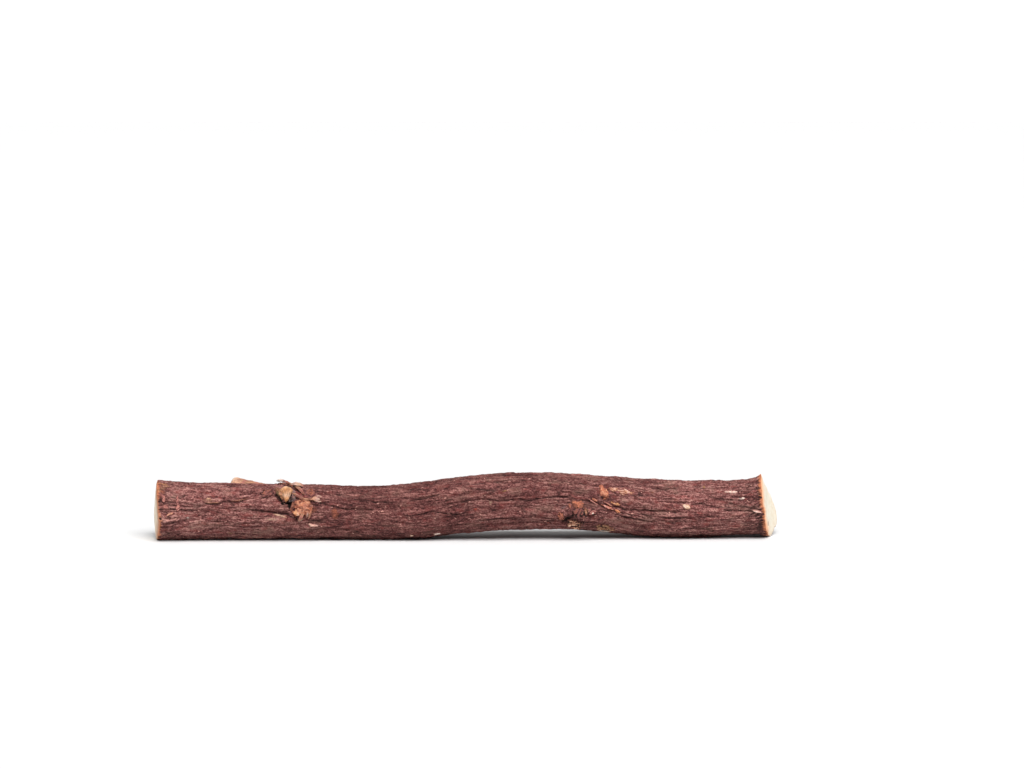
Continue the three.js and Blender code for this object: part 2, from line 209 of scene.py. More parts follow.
# Patches: x, turn, length, width, tilt, lift, hardness of the edge, colour, how much of it shows. A black patch
# is sunken and painted black as painted shade.
PATCHES = [
    # torn knot nearer the left end
    (-46.4, 50, 3.3, 2.3, -28, 0.75, 5, "bright orange", 1.0),
    (-46.9, 47, 1.5, 0.8, -28, 0.25, 4, "tan", 0.8),
    (-49.9, 46, 1.6, 1.4, 10, 0.3, 4, "orange", 0.55),
    (-44.1, 56, 0.7, 1.6, 10, 0.35, 5, "grey", 0.9),
    (-48.5, 48, 2.2, 0.4, -58, -0.7, 5, "black", 1.0),
    (-47.2, 58, 3.2, 0.65, -52, -0.9, 5, "black", 1.0),
    (-44.6, 67, 2.8, 1.8, -52, -1.3, 5, "black", 1.0),
    (-43.4, 92, 4.2, 0.3, -74, -0.5, 5, "black", 0.9),
    (-41.9, 73, 4.0, 2.6, -20, 0.45, 5, "orange", 0.95),
    (-43.6, 66, 1.4, 0.8, -40, -0.35, 4, "black", 0.8),
    (-40.3, 79, 0.6, 1.5, 5, -0.3, 4, "black", 0.6),
    (-39.5, 37, 1.6, 1.7, 0, 0.3, 4, "orange", 0.8),
    (-41.6, 84, 0.9, 2.2, 8, 0.3, 5, "tan", 0.8),
    (-42.0, 97, 0.7, 1.1, 8, 0.25, 5, "beige", 0.9),
    (-42.0, 101, 0.5, 0.4, 0, 0.1, 5, "white", 0.9),
    (-36.8, 65, 0.7, 0.5, 0, -0.35, 4, "black", 0.8),
    (-42.5, 46, 2.4, 1.2, -20, 0.2, 4, "red bark", 0.6),
    (-38.7, 79, 2.0, 2.0, 0, 0.15, 3, "orange", 0.5),
    # scar patch right of it
    (-33.3, 86, 1.6, 2.9, 12, 0.1, 3, "orange", 0.85),
    (-38.8, 112, 2.6, 0.45, 0, 0.1, 5, "pale", 0.9),
    # smaller knot under the bend
    (28.3, 89, 2.6, 1.8, -10, 0.3, 5, "orange", 0.8),
    (24.0, 117, 1.3, 2.3, 12, 0.25, 5, "orange", 0.9),
    (25.8, 122, 4.6, 1.05, 52, -1.3, 8, "black", 1.0),
    (27.4, 136, 3.3, 2.2, 0, 0.4, 5, "tan", 0.85),
    (28.9, 106, 2.2, 1.6, 0, 0.15, 4, "red bark", 0.7),
    (31.2, 99, 1.9, 1.5, -18, 0.35, 5, "tan", 0.75),
    (32.1, 101, 0.5, 0.4, 0, 0.15, 5, "white", 1.0),
    (24.8, 93, 2.0, 0.9, 20, 0.15, 4, "grey", 0.5),
    # other torn and peeled places, from left to right
    (-78.2, 14, 1.2, 2.0, 0, 0.05, 3, "bright orange", 1.0),
    (-78.3, 27, 1.1, 2.0, 5, 0.06, 3, "orange", 1.0),
    (-77.0, 22, 1.6, 1.1, -20, 0.05, 3, "bright orange", 1.0),
    (-77.1, 34, 1.5, 1.1, 10, 0.05, 3, "tan", 1.0),
    (-78.2, 41, 0.9, 1.3, 0, 0.05, 3, "bright orange", 1.0),
    (-75.9, 28, 1.1, 0.8, 0, 0.05, 3, "tan", 0.9),
    (-76.9, 46, 0.9, 1.1, 0, 0.05, 3, "orange", 0.95),
    (-76.7, 58, 0.45, 3.2, 0, 0.08, 3, "pink", 0.8),
    (-76.6, 80, 0.45, 1.6, 0, 0.08, 3, "pink", 0.8),
    (-73.2, 68, 0.45, 3.6, 4, 0.08, 3, "pink", 0.85),
    (-77.5, 99, 0.7, 0.7, 0, -0.25, 4, "black", 0.9),
    (-65.6, 60, 3.2, 1.3, -4, 0.06, 2, "tan", 0.5),
    (-65.3, 57, 1.1, 0.4, 0, 0.1, 5, "beige", 0.95),
    (-60.6, 57, 0.3, 3.0, 0, 0.06, 3, "pink", 0.6),
    (-47.1, 92, 3.3, 0.35, -12, 0.1, 5, "beige", 0.8),
    (-49.5, 98, 2.0, 0.5, 4, 0.08, 4, "beige", 0.8),
    (-70.5, 97, 0.8, 0.35, 8, 0.08, 5, "white", 0.9),
    (-62.2, 132, 0.6, 0.5, 0, -0.3, 4, "black", 0.9),
    (-60.1, 138, 1.9, 0.6, 0, 0.05, 4, "tan", 0.7),
    (-6.7, 37, 1.1, 1.3, 0, 0.22, 6, "pink", 0.7),
    (-6.7, 37, 0.5, 0.6, 0, -0.35, 5, "dark bark", 0.9),
    (-14.3, 31, 0.6, 0.4, 0, 0.1, 5, "pale", 0.8),
    (1.2, 55, 0.8, 3.2, 0, 0.04, 3, "pink", 0.65),
    (2.5, 92, 2.0, 0.35, 4, 0.04, 4, "red streak", 0.9),
    (5.4, 96, 0.9, 0.4, 0, 0.05, 4, "pale", 0.7),
    (6.1, 82, 1.1, 0.5, -10, 0.08, 5, "beige", 0.75),
    (9.6, 61, 1.3, 0.4, 0, 0.05, 4, "yellow", 0.8),
    (21.3, 44, 1.0, 0.4, 8, 0.05, 4, "beige", 0.7),
    (12.4, 131, 0.6, 1.2, 0, 0.05, 3, "pink", 0.7),
    (20.8, 134, 1.9, 0.3, -4, 0.04, 4, "red streak", 0.6),
    (34.8, 57, 1.5, 2.8, 12, 0.14, 6, "orange", 0.95),
    (33.2, 74, 0.9, 0.4, -20, 0.06, 4, "red streak", 0.8),
    (37.3, 78, 1.2, 0.5, -30, 0.08, 4, "orange", 0.9),
    (36.2, 88, 1.7, 0.5, -25, 0.08, 4, "red streak", 0.75),
    (39.4, 54, 3.2, 0.8, -9, 0.16, 6, "beige", 0.5),
    (47.6, 50, 0.9, 0.45, 0, 0.05, 4, "orange", 0.8),
    (53.3, 67, 0.6, 0.4, 0, 0.05, 4, "orange", 0.9),
    (60.8, 34, 0.4, 0.7, 0, 0.06, 4, "yellow", 0.95),
    (54.6, 34, 0.8, 0.4, 0, 0.05, 4, "pink", 0.9),
    (55.8, 79, 1.1, 0.75, -20, 0.2, 6, "beige", 1.0),
    (55.0, 80, 0.35, 0.8, 10, -0.2, 5, "dark bark", 0.9),
    (67.5, 50, 2.1, 0.5, -4, 0.12, 6, "pale", 0.95),
    (70.0, 65, 0.8, 0.4, -10, 0.1, 6, "white", 0.95),
    (74.0, 93, 1.6, 0.4, -14, 0.1, 5, "pale", 0.9),
    (73.0, 106, 0.4, 0.3, 0, 0.05, 4, "orange", 0.9),
    (46.5, 131, 1.0, 0.5, 0, 0.04, 3, "orange", 0.6),
    (51.8, 108, 2.0, 0.8, 0, 0.03, 3, "orange", 0.35),
    (35.9, 138, 3.8, 1.4, -6, 0.05, 3, "olive", 0.6),
    (36.2, 146, 2.6, 0.4, 0, 0.05, 5, "white", 0.8),
    # the side that faces away and the top
    (12.0, 262, 4.2, 3.0, 15, 0.35, 5, "orange", 0.85),
    (13.8, 266, 1.6, 1.2, 0, -0.6, 4, "black", 0.85),
    (10.2, 254, 2.0, 1.3, 20, 0.3, 5, "tan", 0.8),
    (48.0, 250, 2.6, 1.1, 8, 0.1, 4, "orange", 0.7),
    (-34.0, 280, 3.4, 0.8, -6, 0.12, 5, "pale", 0.6),
    (-22.0, 228, 2.2, 0.9, 0, 0.05, 4, "red streak", 0.6),
    (30.0, 330, 2.4, 0.7, 6, 0.1, 5, "pale", 0.6),
    (62.0, 312, 1.4, 1.8, 0, 0.1, 4, "orange", 0.7),
    (-70.0, 322, 1.8, 0.6, 0, 0.08, 5, "beige", 0.7),
    (-8.0, 300, 1.1, 1.3, 0, 0.2, 6, "pink", 0.7),
]

# Scars are raised patches of torn or peeled bark: x, turn, length, width, tilt, lift,
# ridges (angle, cell, height), depth of the pits, colours from low to high; the low places and pits take the low
# colours as painted shade.
# Strands are strips, lumps and fibres: bluntness of the ends, roughness, colours from start to end,
# and stations of (x, turn, lift, half width, half thickness).
TORN_PLACES = [
    ("left_knot", [
        (-41.2, 75, 4.3, 4.2, -20, 0.35, (75, 0.9, 0.28), 0.3,
         ("brown", "brown", "orange", "tan", "orange", "bright orange")),
        (-39.6, 40, 2.3, 2.4, 0, 0.1, (70, 0.5, 0.12), 0.1, ("dark bark", "bark", "brown", "orange")),
        (-42.9, 85, 1.7, 1.3, -30, 0.5, (75, 0.5, 0.12), 0.0, ("orange", "bright orange", "pale")),
        (-38.8, 112, 2.5, 0.5, -8, 0.12, (0, 0.5, 0.1), 0.0, ("pink", "pale", "beige")),
        (-44.1, 47, 1.6, 2.7, 6, 0.35, (78, 0.5, 0.16), 0.25, ("black", "grey", "brown", "grey", "pink")),
        (-50.4, 45, 3.6, 3.0, 10, 0.5, (12, 0.6, 0.22), 0.3,
         ("dark bark", "dark bark", "bark", "brown", "orange")),
        (-45.4, 9, 5.6, 2.0, -34, 0.3, (0, 0.5, 0.2), 0.25, ("black", "dark bark", "brown", "orange", "tan")),
    ], [
        (4, 0.14, ("brown", "gold", "beige", "gold", "beige", "gold", "orange"), [
            (-46.2, 34, 0.1, 0.8, 0.5), (-45.7, 40, 0.5, 1.5, 0.95), (-45.5, 48, 0.7, 1.4, 1.05),
            (-45.6, 56, 0.5, 0.95, 0.85), (-45.8, 64, -0.1, 0.35, 0.4)]),
        (4, 0.16, ("dark bark", "olive", "brown", "olive", "dark bark"), [
            (-48.5, 33, 0.0, 0.4, 0.3), (-48.1, 38, 0.35, 0.65, 0.5),
            (-47.6, 46, 0.35, 0.65, 0.6), (-47.1, 54, -0.1, 0.4, 0.4)]),
        (6, 0.14, ("brown", "tan", "pink", "brown", "tan", "brown", "tan", "pale", "beige"), [
            (-44.6, 49, 0.3, 0.22, 0.2), (-43.4, 51, 0.6, 0.34, 0.28), (-42.4, 55, 0.6, 0.36, 0.28),
            (-41.4, 60, 0.5, 0.36, 0.3), (-40.1, 60.5, 0.5, 0.36, 0.32), (-39.1, 59, 0.5, 0.42, 0.34),
            (-38.0, 58.5, 0.5, 0.5, 0.36), (-37.1, 58, 0.3, 0.46, 0.34)]),
        (6, 0.06, ("brown", "pale", "beige"), [
            (-38.6, 63, 0.6, 0.15, 0.14), (-37.6, 64, 0.8, 0.17, 0.16), (-36.7, 63, 0.6, 0.13, 0.12)]),
        (6, 0.06, ("tan", "pale", "beige"), [
            (-38.8, 55, 0.6, 0.13, 0.13), (-37.6, 53, 0.8, 0.16, 0.15), (-36.7, 53, 0.5, 0.12, 0.12)]),
        (6, 0.1, ("orange", "tan", "pink", "tan", "pale"), [
            (-41.2, 83, 0.5, 0.35, 0.25), (-41.6, 89, 0.6, 0.42, 0.28),
            (-42.1, 96, 0.5, 0.4, 0.28), (-42.6, 103, 0.25, 0.35, 0.25)]),
        (6, 0.1, ("brown", "orange", "tan", "pink"), [
            (-39.3, 72, 0.4, 0.3, 0.25), (-39.4, 79, 0.5, 0.35, 0.25),
            (-39.7, 88, 0.45, 0.35, 0.25), (-40.1, 98, 0.1, 0.2, 0.2)]),
        (6, 0.08, ("orange", "pale", "tan"), [
            (-40.2, 80, 0.4, 0.2, 0.2), (-40.3, 88, 0.4, 0.2, 0.2), (-40.5, 95, 0.1, 0.15, 0.15)]),
        (6, 0.1, ("white", "white", "pale", "pink", "brown", "tan"), [
            (-48.5, -5, 0.8, 0.35, 0.28), (-47.5, -2, 0.95, 0.5, 0.34), (-46.4, 2, 0.8, 0.42, 0.32),
            (-45.3, 10, 0.6, 0.4, 0.26), (-44.4, 16, 0.5, 0.35, 0.2)]),
        (6, 0.1, ("beige", "pale", "beige", "pink"), [
            (-45.0, 14, 0.4, 0.35, 0.2), (-43.8, 17, 0.7, 0.7, 0.25),
            (-42.6, 18, 0.7, 0.75, 0.25), (-41.4, 20, 0.3, 0.4, 0.2)]),
        (6, 0.08, ("brown", "tan", "pink", "brown"), [
            (-43.8, 25, 0.3, 0.25, 0.2), (-42.8, 33, 0.6, 0.4, 0.25),
            (-42.0, 41, 0.6, 0.4, 0.25), (-41.1, 49, 0.2, 0.3, 0.2)]),
        (6, 0.05, ("tan", "beige", "beige", "tan"), [
            (-49.0, 88, 0.0, 0.1, 0.1), (-47.8, 90, 0.12, 0.2, 0.15),
            (-46.6, 92, 0.12, 0.2, 0.15), (-45.5, 95, 0.0, 0.1, 0.1)]),
    ]),
    ("right_knot", [
        (28.5, 87, 3.0, 2.0, -8, 0.35, (15, 0.6, 0.16), 0.0,
         ("dark bark", "brown", "brown", "orange", "orange")),
        (28.6, 103, 3.2, 3.0, 0, 0.35, (60, 0.8, 0.26), 0.3,
         ("black", "dark bark", "bark", "brown", "red bark")),
        (26.2, 91, 0.7, 1.2, 10, 0.2, (70, 0.4, 0.06), 0.0, ("dark bark", "brown", "orange")),
        (24.1, 115, 1.5, 2.6, 8, 0.3, (75, 0.4, 0.14), 0.2,
         ("dark bark", "brown", "orange", "pink", "bright orange")),
        (31.7, 99, 2.7, 1.9, -10, 0.3, (40, 0.6, 0.14), 0.2,
         ("dark bark", "dark bark", "bark", "pink", "pale")),
        (32.1, 101, 0.6, 0.4, 20, 0.6, (0, 0.4, 0.05), 0.0, ("pale", "white")),
        (27.5, 133.5, 3.6, 2.8, 0, 0.5, (30, 0.55, 0.25), 0.4,
         ("black", "dark bark", "brown", "tan", "beige", "white")),
        (35.3, 140, 5.0, 2.4, -6, 0.15, (25, 0.4, 0.2), 0.4,
         ("black", "dark bark", "brown", "olive", "tan", "beige")),
    ], [
        (6, 0.2, ("dark bark", "brown", "tan", "brown"), [
            (30.1, 88, -0.1, 0.22, 0.25), (30.2, 94, 0.2, 0.3, 0.3),
            (30.3, 101, 0.2, 0.34, 0.3), (30.2, 109, -0.1, 0.22, 0.25)]),
        (6, 0.03, ("pale", "white", "white", "pale"), [
            (33.7, 150, 0.1, 0.12, 0.12), (34.8, 151, 0.16, 0.2, 0.14),
            (36.0, 151, 0.16, 0.2, 0.14), (37.0, 149, 0.1, 0.12, 0.12)]),
    ]),
    ("peeled_bark", [
        (39.4, 54, 5.9, 1.6, -9, 0.2, (0, 0.6, 0.14), 0.15, ("bark", "brown", "tan", "pale", "beige")),
        (35.0, 58, 2.0, 3.1, 14, 0.22, (80, 0.5, 0.12), 0.1, ("brown", "orange", "orange", "tan", "orange")),
        (34.5, 46, 0.9, 1.3, 20, 0.16, (80, 0.4, 0.08), 0.0, ("brown", "orange", "orange")),
        (37.8, 79, 2.4, 0.9, -18, 0.14, (0, 0.45, 0.1), 0.15, ("dark bark", "brown", "gold", "beige")),
        (36.0, 88.5, 3.2, 0.6, -20, 0.12, (0, 0.35, 0.06), 0.0, ("dark bark", "orange", "pink", "pale")),
        (38.4, 94, 1.6, 0.7, -30, 0.12, (0, 0.35, 0.06), 0.0, ("brown", "orange", "gold")),
        (32.2, 79, 2.6, 0.35, -34, 0.08, (0, 0.35, 0.04), 0.0, ("bark", "pink", "fleck")),
        (32.6, 74, 1.3, 0.6, -30, 0.12, (0, 0.35, 0.05), 0.0, ("brown", "orange", "pale")),
        (36.0, 81, 2.4, 0.4, -26, 0.08, (0, 0.35, 0.05), 0.0, ("dark bark", "pink", "tan")),
        (56.0, 79, 1.9, 1.1, -12, 0.34, (0, 0.5, 0.1), 0.0, ("tan", "beige", "white")),
        (67.6, 50, 3.7, 0.65, -3, 0.2, (0, 0.5, 0.08), 0.0, ("pink", "pale", "white")),
        (70.6, 64, 0.9, 0.6, -10, 0.2, (0, 0.4, 0.05), 0.0, ("pale", "white")),
        (74.0, 93, 2.1, 0.5, -14, 0.18, (0, 0.4, 0.06), 0.0, ("pink", "pale", "white")),
        (-76.7, 60, 0.8, 2.9, 6, 0.08, (60, 0.4, 0.1), 0.15, ("dark bark", "bark", "pink", "fleck")),
        (-76.0, 76, 1.5, 0.9, -20, 0.06, (40, 0.4, 0.1), 0.15, ("dark bark", "bark", "pink", "tan")),
        (-73.2, 62, 0.7, 2.8, 0, 0.08, (60, 0.4, 0.1), 0.15, ("dark bark", "bark", "pink", "fleck")),
        (-73.1, 78, 0.9, 1.8, -6, 0.1, (60, 0.4, 0.1), 0.15, ("dark bark", "bark", "pink", "fleck")),
        (-75.0, 90, 2.0, 0.55, 28, 0.08, (0, 0.4, 0.1), 0.1, ("bark", "pink", "tan", "beige")),
        (-65.3, 57, 1.2, 0.4, 0, 0.12, (0, 0.35, 0.06), 0.0, ("bark", "tan", "beige")),
        (-7.4, 150, 1.5, 0.5, 4, 0.16, (0, 0.4, 0.05), 0.0, ("pale", "white", "white")),
        (-14.0, 141, 0.9, 0.6, 0, 0.16, (0, 0.4, 0.05), 0.0, ("tan", "beige", "white")),
        (30.0, 330, 3.0, 0.8, 6, 0.18, (0, 0.5, 0.08), 0.0, ("pink", "pale", "beige")),
        (-34.0, 280, 3.6, 0.9, -6, 0.18, (0, 0.5, 0.08), 0.0, ("pink", "pale", "white")),
        (48.0, 250, 2.8, 1.2, 8, 0.14, (0, 0.5, 0.1), 0.1, ("brown", "orange", "bright orange")),
        (62.0, 312, 1.8, 2.0, 0, 0.14, (75, 0.4, 0.1), 0.1, ("brown", "orange", "bright orange")),
    ], [
        (6, 0.03, ("bark", "tan", "brown", "tan", "bark"), [
            (-66.4, 64, -0.1, 0.08, 0.1), (-65.0, 65.5, 0.02, 0.1, 0.1),
            (-63.6, 65, 0.02, 0.1, 0.1), (-62.4, 64, -0.1, 0.08, 0.1)]),
        (6, 0.03, ("bark", "brown", "tan", "brown", "bark"), [
            (-60.2, 60, -0.1, 0.08, 0.1), (-58.4, 60.5, 0.02, 0.1, 0.1),
            (-56.6, 57.5, 0.02, 0.1, 0.1), (-54.8, 53, -0.1, 0.08, 0.1)]),
    ]),
    ("back_knot", [
        (12.0, 262, 4.6, 3.4, 15, 0.45, (70, 0.8, 0.28), 0.35,
         ("dark bark", "brown", "orange", "tan", "bright orange")),
        (8.8, 252, 2.0, 1.4, 20, 0.25, (70, 0.5, 0.1), 0.1, ("bark", "brown", "orange")),
    ], [
        (4, 0.14, ("brown", "bright orange", "orange", "brown"), [
            (9.6, 258, -0.1, 0.5, 0.4), (10.6, 262, 0.4, 1.2, 0.8),
            (11.8, 268, 0.4, 1.1, 0.8), (13.0, 272, -0.1, 0.4, 0.4)]),
        (6, 0.08, ("tan", "beige", "tan"), [
            (12.4, 248, 0.2, 0.3, 0.2), (14.2, 252, 0.5, 0.4, 0.25), (16.0, 258, 0.1, 0.25, 0.2)]),
    ]),
]

# The side root's stub: stations of x, y, z, half width, half thickness; its flat side; its colours along it.
SIDE_ROOT = [
    (-47.5, 1.9, 9.4, 3.3, 3.1), (-49.5, 2.2, 10.2, 3.1, 2.9), (-53.0, 2.95, 11.5, 2.75, 2.6),
    (-56.7, 3.8, 12.55, 2.4, 2.25), (-60.4, 4.6, 13.6, 2.1, 2.0),
]
SIDE_ROOT_OUTWARD = (0.0, -0.35, 0.94)
SIDE_ROOT_COLOURS = ("bark", "red bark", "brown", "orange", "pink", "tan", "orange", "tan", "pink", "tan",
                     "tan", "pink", "tan", "beige", "wood")

# Torn bark: the strands' lumps as cell length, number of cells round and height; then the meshes' steps,
# how near they come to the floor, and the way round the root in a degree.
STRAND_LUMPS = [(1.3, 4, 1.0), (0.6, 7, 0.5)]
SCAR_STEP = 0.085
SMALL_SCAR_STEP = 0.06
STRAND_STEP = 0.09
LOWEST = 0.02
DEGREE = 0.13

# Loose flakes of bark: how many on a square metre, half sizes, seed.
FLAKES = {
    "Flakes per square metre": 90000.0,
    "Smallest": (0.12, 0.07, 0.04),
    "Largest": (0.42, 0.17, 0.09),
    "Seed": 7,
}
FLAKE_SWING = 0.7  # radians off the root's length, either way
FLAKE_LOWEST = -0.7  # no flakes where the bark's normal points further down than this


def linear(name):
    """One of the colours above, as Blender's linear red, green and blue."""
    share = np.array(COLOURS[name]) / 255
    return np.where(share <= 0.04045, share / 12.92, ((share + 0.055) / 1.055) ** 2.4)


# The form of the root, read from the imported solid.


def middle_line(corners):
    """Functions of x for the middle of the section, across the stub's span carried on from both sides."""
    extents = [corners[abs(corners[:, 0] - x) < HALF_SLICE] for x in MIDDLE_PLACES]
    kept = (MIDDLE_PLACES < STUB_SPAN[0]) | (MIDDLE_PLACES > STUB_SPAN[1])

    def smoothed(axis):
        middles = np.array([(e[:, axis].min() + e[:, axis].max()) / 2 for e in extents])
        soft = np.convolve(np.pad(middles, 2, mode="edge"), np.array([1, 2, 3, 2, 1]) / 9, "valid")
        return lambda x: np.interp(x, MIDDLE_PLACES[kept], soft[kept])

    return smoothed(1), smoothed(2)


class Form:
    """The solid's big shape: where its cuts are, and how far its bark is from its middle line."""

    FAR = 30.0
    BEYOND_ENDS = 100.0

    def __init__(self, solid):
        self.corners = np.array([v.co for v in solid.data.vertices]) * 1000
        faces = [list(polygon.vertices) for polygon in solid.data.polygons]
        self.tree = BVHTree.FromPolygons(self.corners.tolist(), faces)
        self.middle_y, self.middle_z = middle_line(self.corners)

    def middle(self, x):
        return Vector((x, float(self.middle_y(x)), float(self.middle_z(x))))

    def radius(self, x, turn):
        """The bark's distance from the middle line, or 0 beyond a cut."""
        outward = Vector((0, -math.sin(turn), math.cos(turn)))
        hit = self.tree.ray_cast(self.middle(x) + outward * self.FAR, -outward, self.FAR)
        return self.FAR - hit[3] if hit[0] is not None else 0.0

    def rim(self, end, turn):
        """The x at which the bark stops at one end, found by halving."""
        inside, outside = (end * distance for distance in RIM_SEARCH)
        whole = self.radius(inside, turn)
        for _ in range(16):
            x = (inside + outside) / 2
            if self.radius(x, turn) > 0.8 * whole:
                inside = x
            else:
                outside = x
        return inside

    def face(self, end, y, z):
        """The x of a cut face at a place on it."""
        return self.tree.ray_cast(Vector((end * self.BEYOND_ENDS, y, z)), Vector((-end, 0, 0)))[0].x


def blurred(values, sigma, axis, closed):
    """Gaussian blur along one axis of a grid; sigma is in steps."""
    reach = int(3 * sigma) + 1
    weights = np.exp(-0.5 * (np.arange(-reach, reach + 1) / sigma) ** 2)
    pads = [(reach, reach) if a == axis else (0, 0) for a in range(values.ndim)]
    padded = np.pad(values, pads, mode="wrap" if closed else "edge")
    return np.apply_along_axis(np.convolve, axis, padded, weights / weights.sum(), "valid")


def without_stub(radii, x, turns):
    """Carries the bark on under the stub, from its left to its right."""
    degrees = (np.degrees(turns) + 180) % 360 - 180
    filled = radii.copy()
    for step in np.flatnonzero((degrees > STUB_TURNS[0]) & (degrees < STUB_TURNS[1])):
        left, right = np.searchsorted(x[:, step], STUB_SPAN)
        share = np.linspace(0, 1, right - left)
        filled[left:right, step] = (1 - share) * radii[left - 3, step] + share * radii[right + 3, step]
    return filled


# Noise that closes round the root.


def noise(x, turn, cell, cells_round, seed):
    """Smooth noise of about -1 to 1, with cells of that length along x and a whole number round."""
    random = np.random.default_rng(seed)
    angle = random.uniform(0, 2 * math.pi, (256, cells_round))
    gradient = np.stack([np.cos(angle), np.sin(angle)])
    u = x / cell + 100
    v = (turn / (2 * math.pi) % 1) * cells_round
    u0, v0 = np.floor(u).astype(int), np.floor(v).astype(int)
    fu, fv = u - u0, v - v0
    su, sv = (f * f * f * (f * (6 * f - 15) + 10) for f in (fu, fv))

    def corner(du, dv):
        g = gradient[:, (u0 + du) % 256, (v0 + dv) % cells_round]
        return g[0] * (fu - du) + g[1] * (fv - dv)

    low = corner(0, 0) * (1 - su) + corner(1, 0) * su
    high = corner(0, 1) * (1 - su) + corner(1, 1) * su
    return 1.6 * (low * (1 - sv) + high * sv)


def layered(x, turn, layers, seed, start=0):
    """Noises added to a start, each given as its cell length, number of cells round and height."""
    for k, (cell, cells, height) in enumerate(layers):
        start = start + height * noise(x, turn, cell, cells, seed + k)
    return start


def turned(turn, start):
    """The turn from a start, from half a turn back to half a turn on."""
    return (turn - start + math.pi) % (2 * math.pi) - math.pi


# The bark's relief and stains.


def away_from(path, x, around, radius):
    """Distance in mm from a path of (x, turn), and the share of the way along it."""
    best = np.full(x.shape, 1e9)
    along = np.zeros(x.shape)
    places = np.array([(px, math.radians(turn)) for px, turn in path])
    for k in range(len(places) - 1):
        (x0, t0), (x1, t1) = places[k], places[k + 1]
        dx, dt = x - x0, turned(around, t0) * radius
        ex, et = x1 - x0, (t1 - t0) * radius
        share = np.clip((dx * ex + dt * et) / (ex * ex + et * et), 0, 1)
        distance = np.hypot(dx - share * ex, dt - share * et)
        nearer = distance < best
        best = np.where(nearer, distance, best)
        along = np.where(nearer, (k + share) / (len(places) - 1), along)
    return best, along


def bark_relief(x, turn, radius):
    """The fine relief, the painted shade of its valleys and cracks (darker where deeper), how far each place is
    from a line that is painted dark as painted shade, and the turn that the lines follow."""
    strayed = turn + layered(x, turn, DRIFT, 1) / MEAN_RADIUS
    relief = np.zeros(x.shape)
    # painted shade: how dark each place in the valleys and cracks is painted, darker where deeper
    groove_shade = np.zeros(x.shape)
    # distance from the lines painted black as painted shade: the middles of the valleys and cracks
    off_shade_line = np.full(x.shape, 4.0)
    for k, (cell, cells, depth, share) in enumerate(VALLEYS):
        line = noise(x, strayed, cell, cells, 10 + k)
        patchy = layered(x, turn, [VALLEY_FADE], 30 + k, 0.55)
        valley = np.exp(-((line / share) ** 2)) * np.clip(patchy, 0.1, 1)
        relief -= depth * valley
        groove_shade += VALLEY_SHADE * depth * valley
        if k < 2:
            off_shade_line = np.minimum(off_shade_line, 1.5 * abs(line) / share / np.clip(patchy, 0.25, 1))
    relief = layered(x, strayed, SWELLS, 50, relief)
    waver = layered(x, turn, [CRACK_WAVER], 70)
    for k, (depth, width, path) in enumerate(CRACKS):
        away, along = away_from(path, x + waver, turn + waver / MEAN_RADIUS, radius)
        tapered = np.clip(6 * np.minimum(along, 1 - along) + 0.15, 0, 1)
        strength = tapered * (0.75 + 0.35 * noise(x, turn, 3, 20, 90 + k))
        relief -= depth * strength * np.exp(-((away / width) ** 2))
        relief += 0.25 * depth * strength * np.exp(-(((away - 2.6 * width) / (1.5 * width)) ** 2))
        groove_shade += CRACK_SHADE * strength * np.exp(-((away / (1.3 * width)) ** 2))
        off_shade_line = np.minimum(off_shade_line, 0.55 * away / width / np.clip(strength, 0.2, 1))
    return relief, groove_shade, off_shade_line, strayed


def rim_stray(end, turns):
    """How far along x the rim strays at each turn."""
    table = np.array(RIM_STRAY[end] + [(360, RIM_STRAY[end][0][1])], dtype=float)
    return np.interp(np.degrees(turns) % 360, table[:, 0], table[:, 1])


def rim_shape(x, turn, left, right):
    """The relief of the tip above the right cut and of the furrows that fan out to both rims, those furrows,
    whose share is painted darker as painted shade, and how far each place is from one, where a line is painted
    dark as shade."""
    tip_turn, half_width, length, height = RIM_TIP
    depth, reach = RIM_FURROWS
    off_tip = np.degrees(turned(turn, math.radians(tip_turn)))
    near_right = np.clip(1 - (right - x) / length, 0, 1) ** 3.2
    tip = height * near_right * np.exp(-((off_tip / half_width) ** 2))
    fan = np.maximum(0.4 * np.exp(-(((x - left) / reach) ** 2)), np.exp(-(((right - x) / reach) ** 2)))
    lean = turn + 0.07 * (x - right)
    off_furrow = abs(noise(x, lean, 5, 46, 400))
    furrows = fan * np.exp(-((off_furrow / 0.25) ** 2))
    return tip - depth * furrows, furrows, 2.4 * off_furrow / np.clip(fan, 0.05, 1)


def patched(x, turn, radius, relief, stain):
    """Adds the torn and peeled patches to the relief and the stain, and gives each place's share of the black
    painted shade in a sunken patch.
    """
    hollow_shade = np.zeros(x.shape)
    ragged_x = layered(x, turn, RAGGED_ALONG, 200, x)
    ragged_turn = turn + layered(x, turn, RAGGED_ROUND, 202) / MEAN_RADIUS
    for patch_x, patch_turn, length, width, tilt, lift, hard, colour, share in PATCHES:
        dx = ragged_x - patch_x
        dt = turned(ragged_turn, math.radians(patch_turn)) * radius
        c, s = math.cos(math.radians(tilt)), math.sin(math.radians(tilt))
        out = np.hypot((dx * c - dt * s) / length * 2, (dx * s + dt * c) / width * 2)
        cover = 1 / (1 + np.exp(np.clip(hard * 2 * (out - 1), -40, 40)))
        relief = relief + lift * cover
        # a black patch is sunken and painted black as painted shade
        if colour == "black":
            hollow_shade = np.maximum(hollow_shade, cover * share)
            continue
        alpha = cover * share
        stain[..., :3] = stain[..., :3] * (1 - alpha[..., None]) + linear(colour) * alpha[..., None]
        stain[..., 3] = stain[..., 3] * (1 - alpha) + alpha
    return relief, stain, hollow_shade


# Meshes.


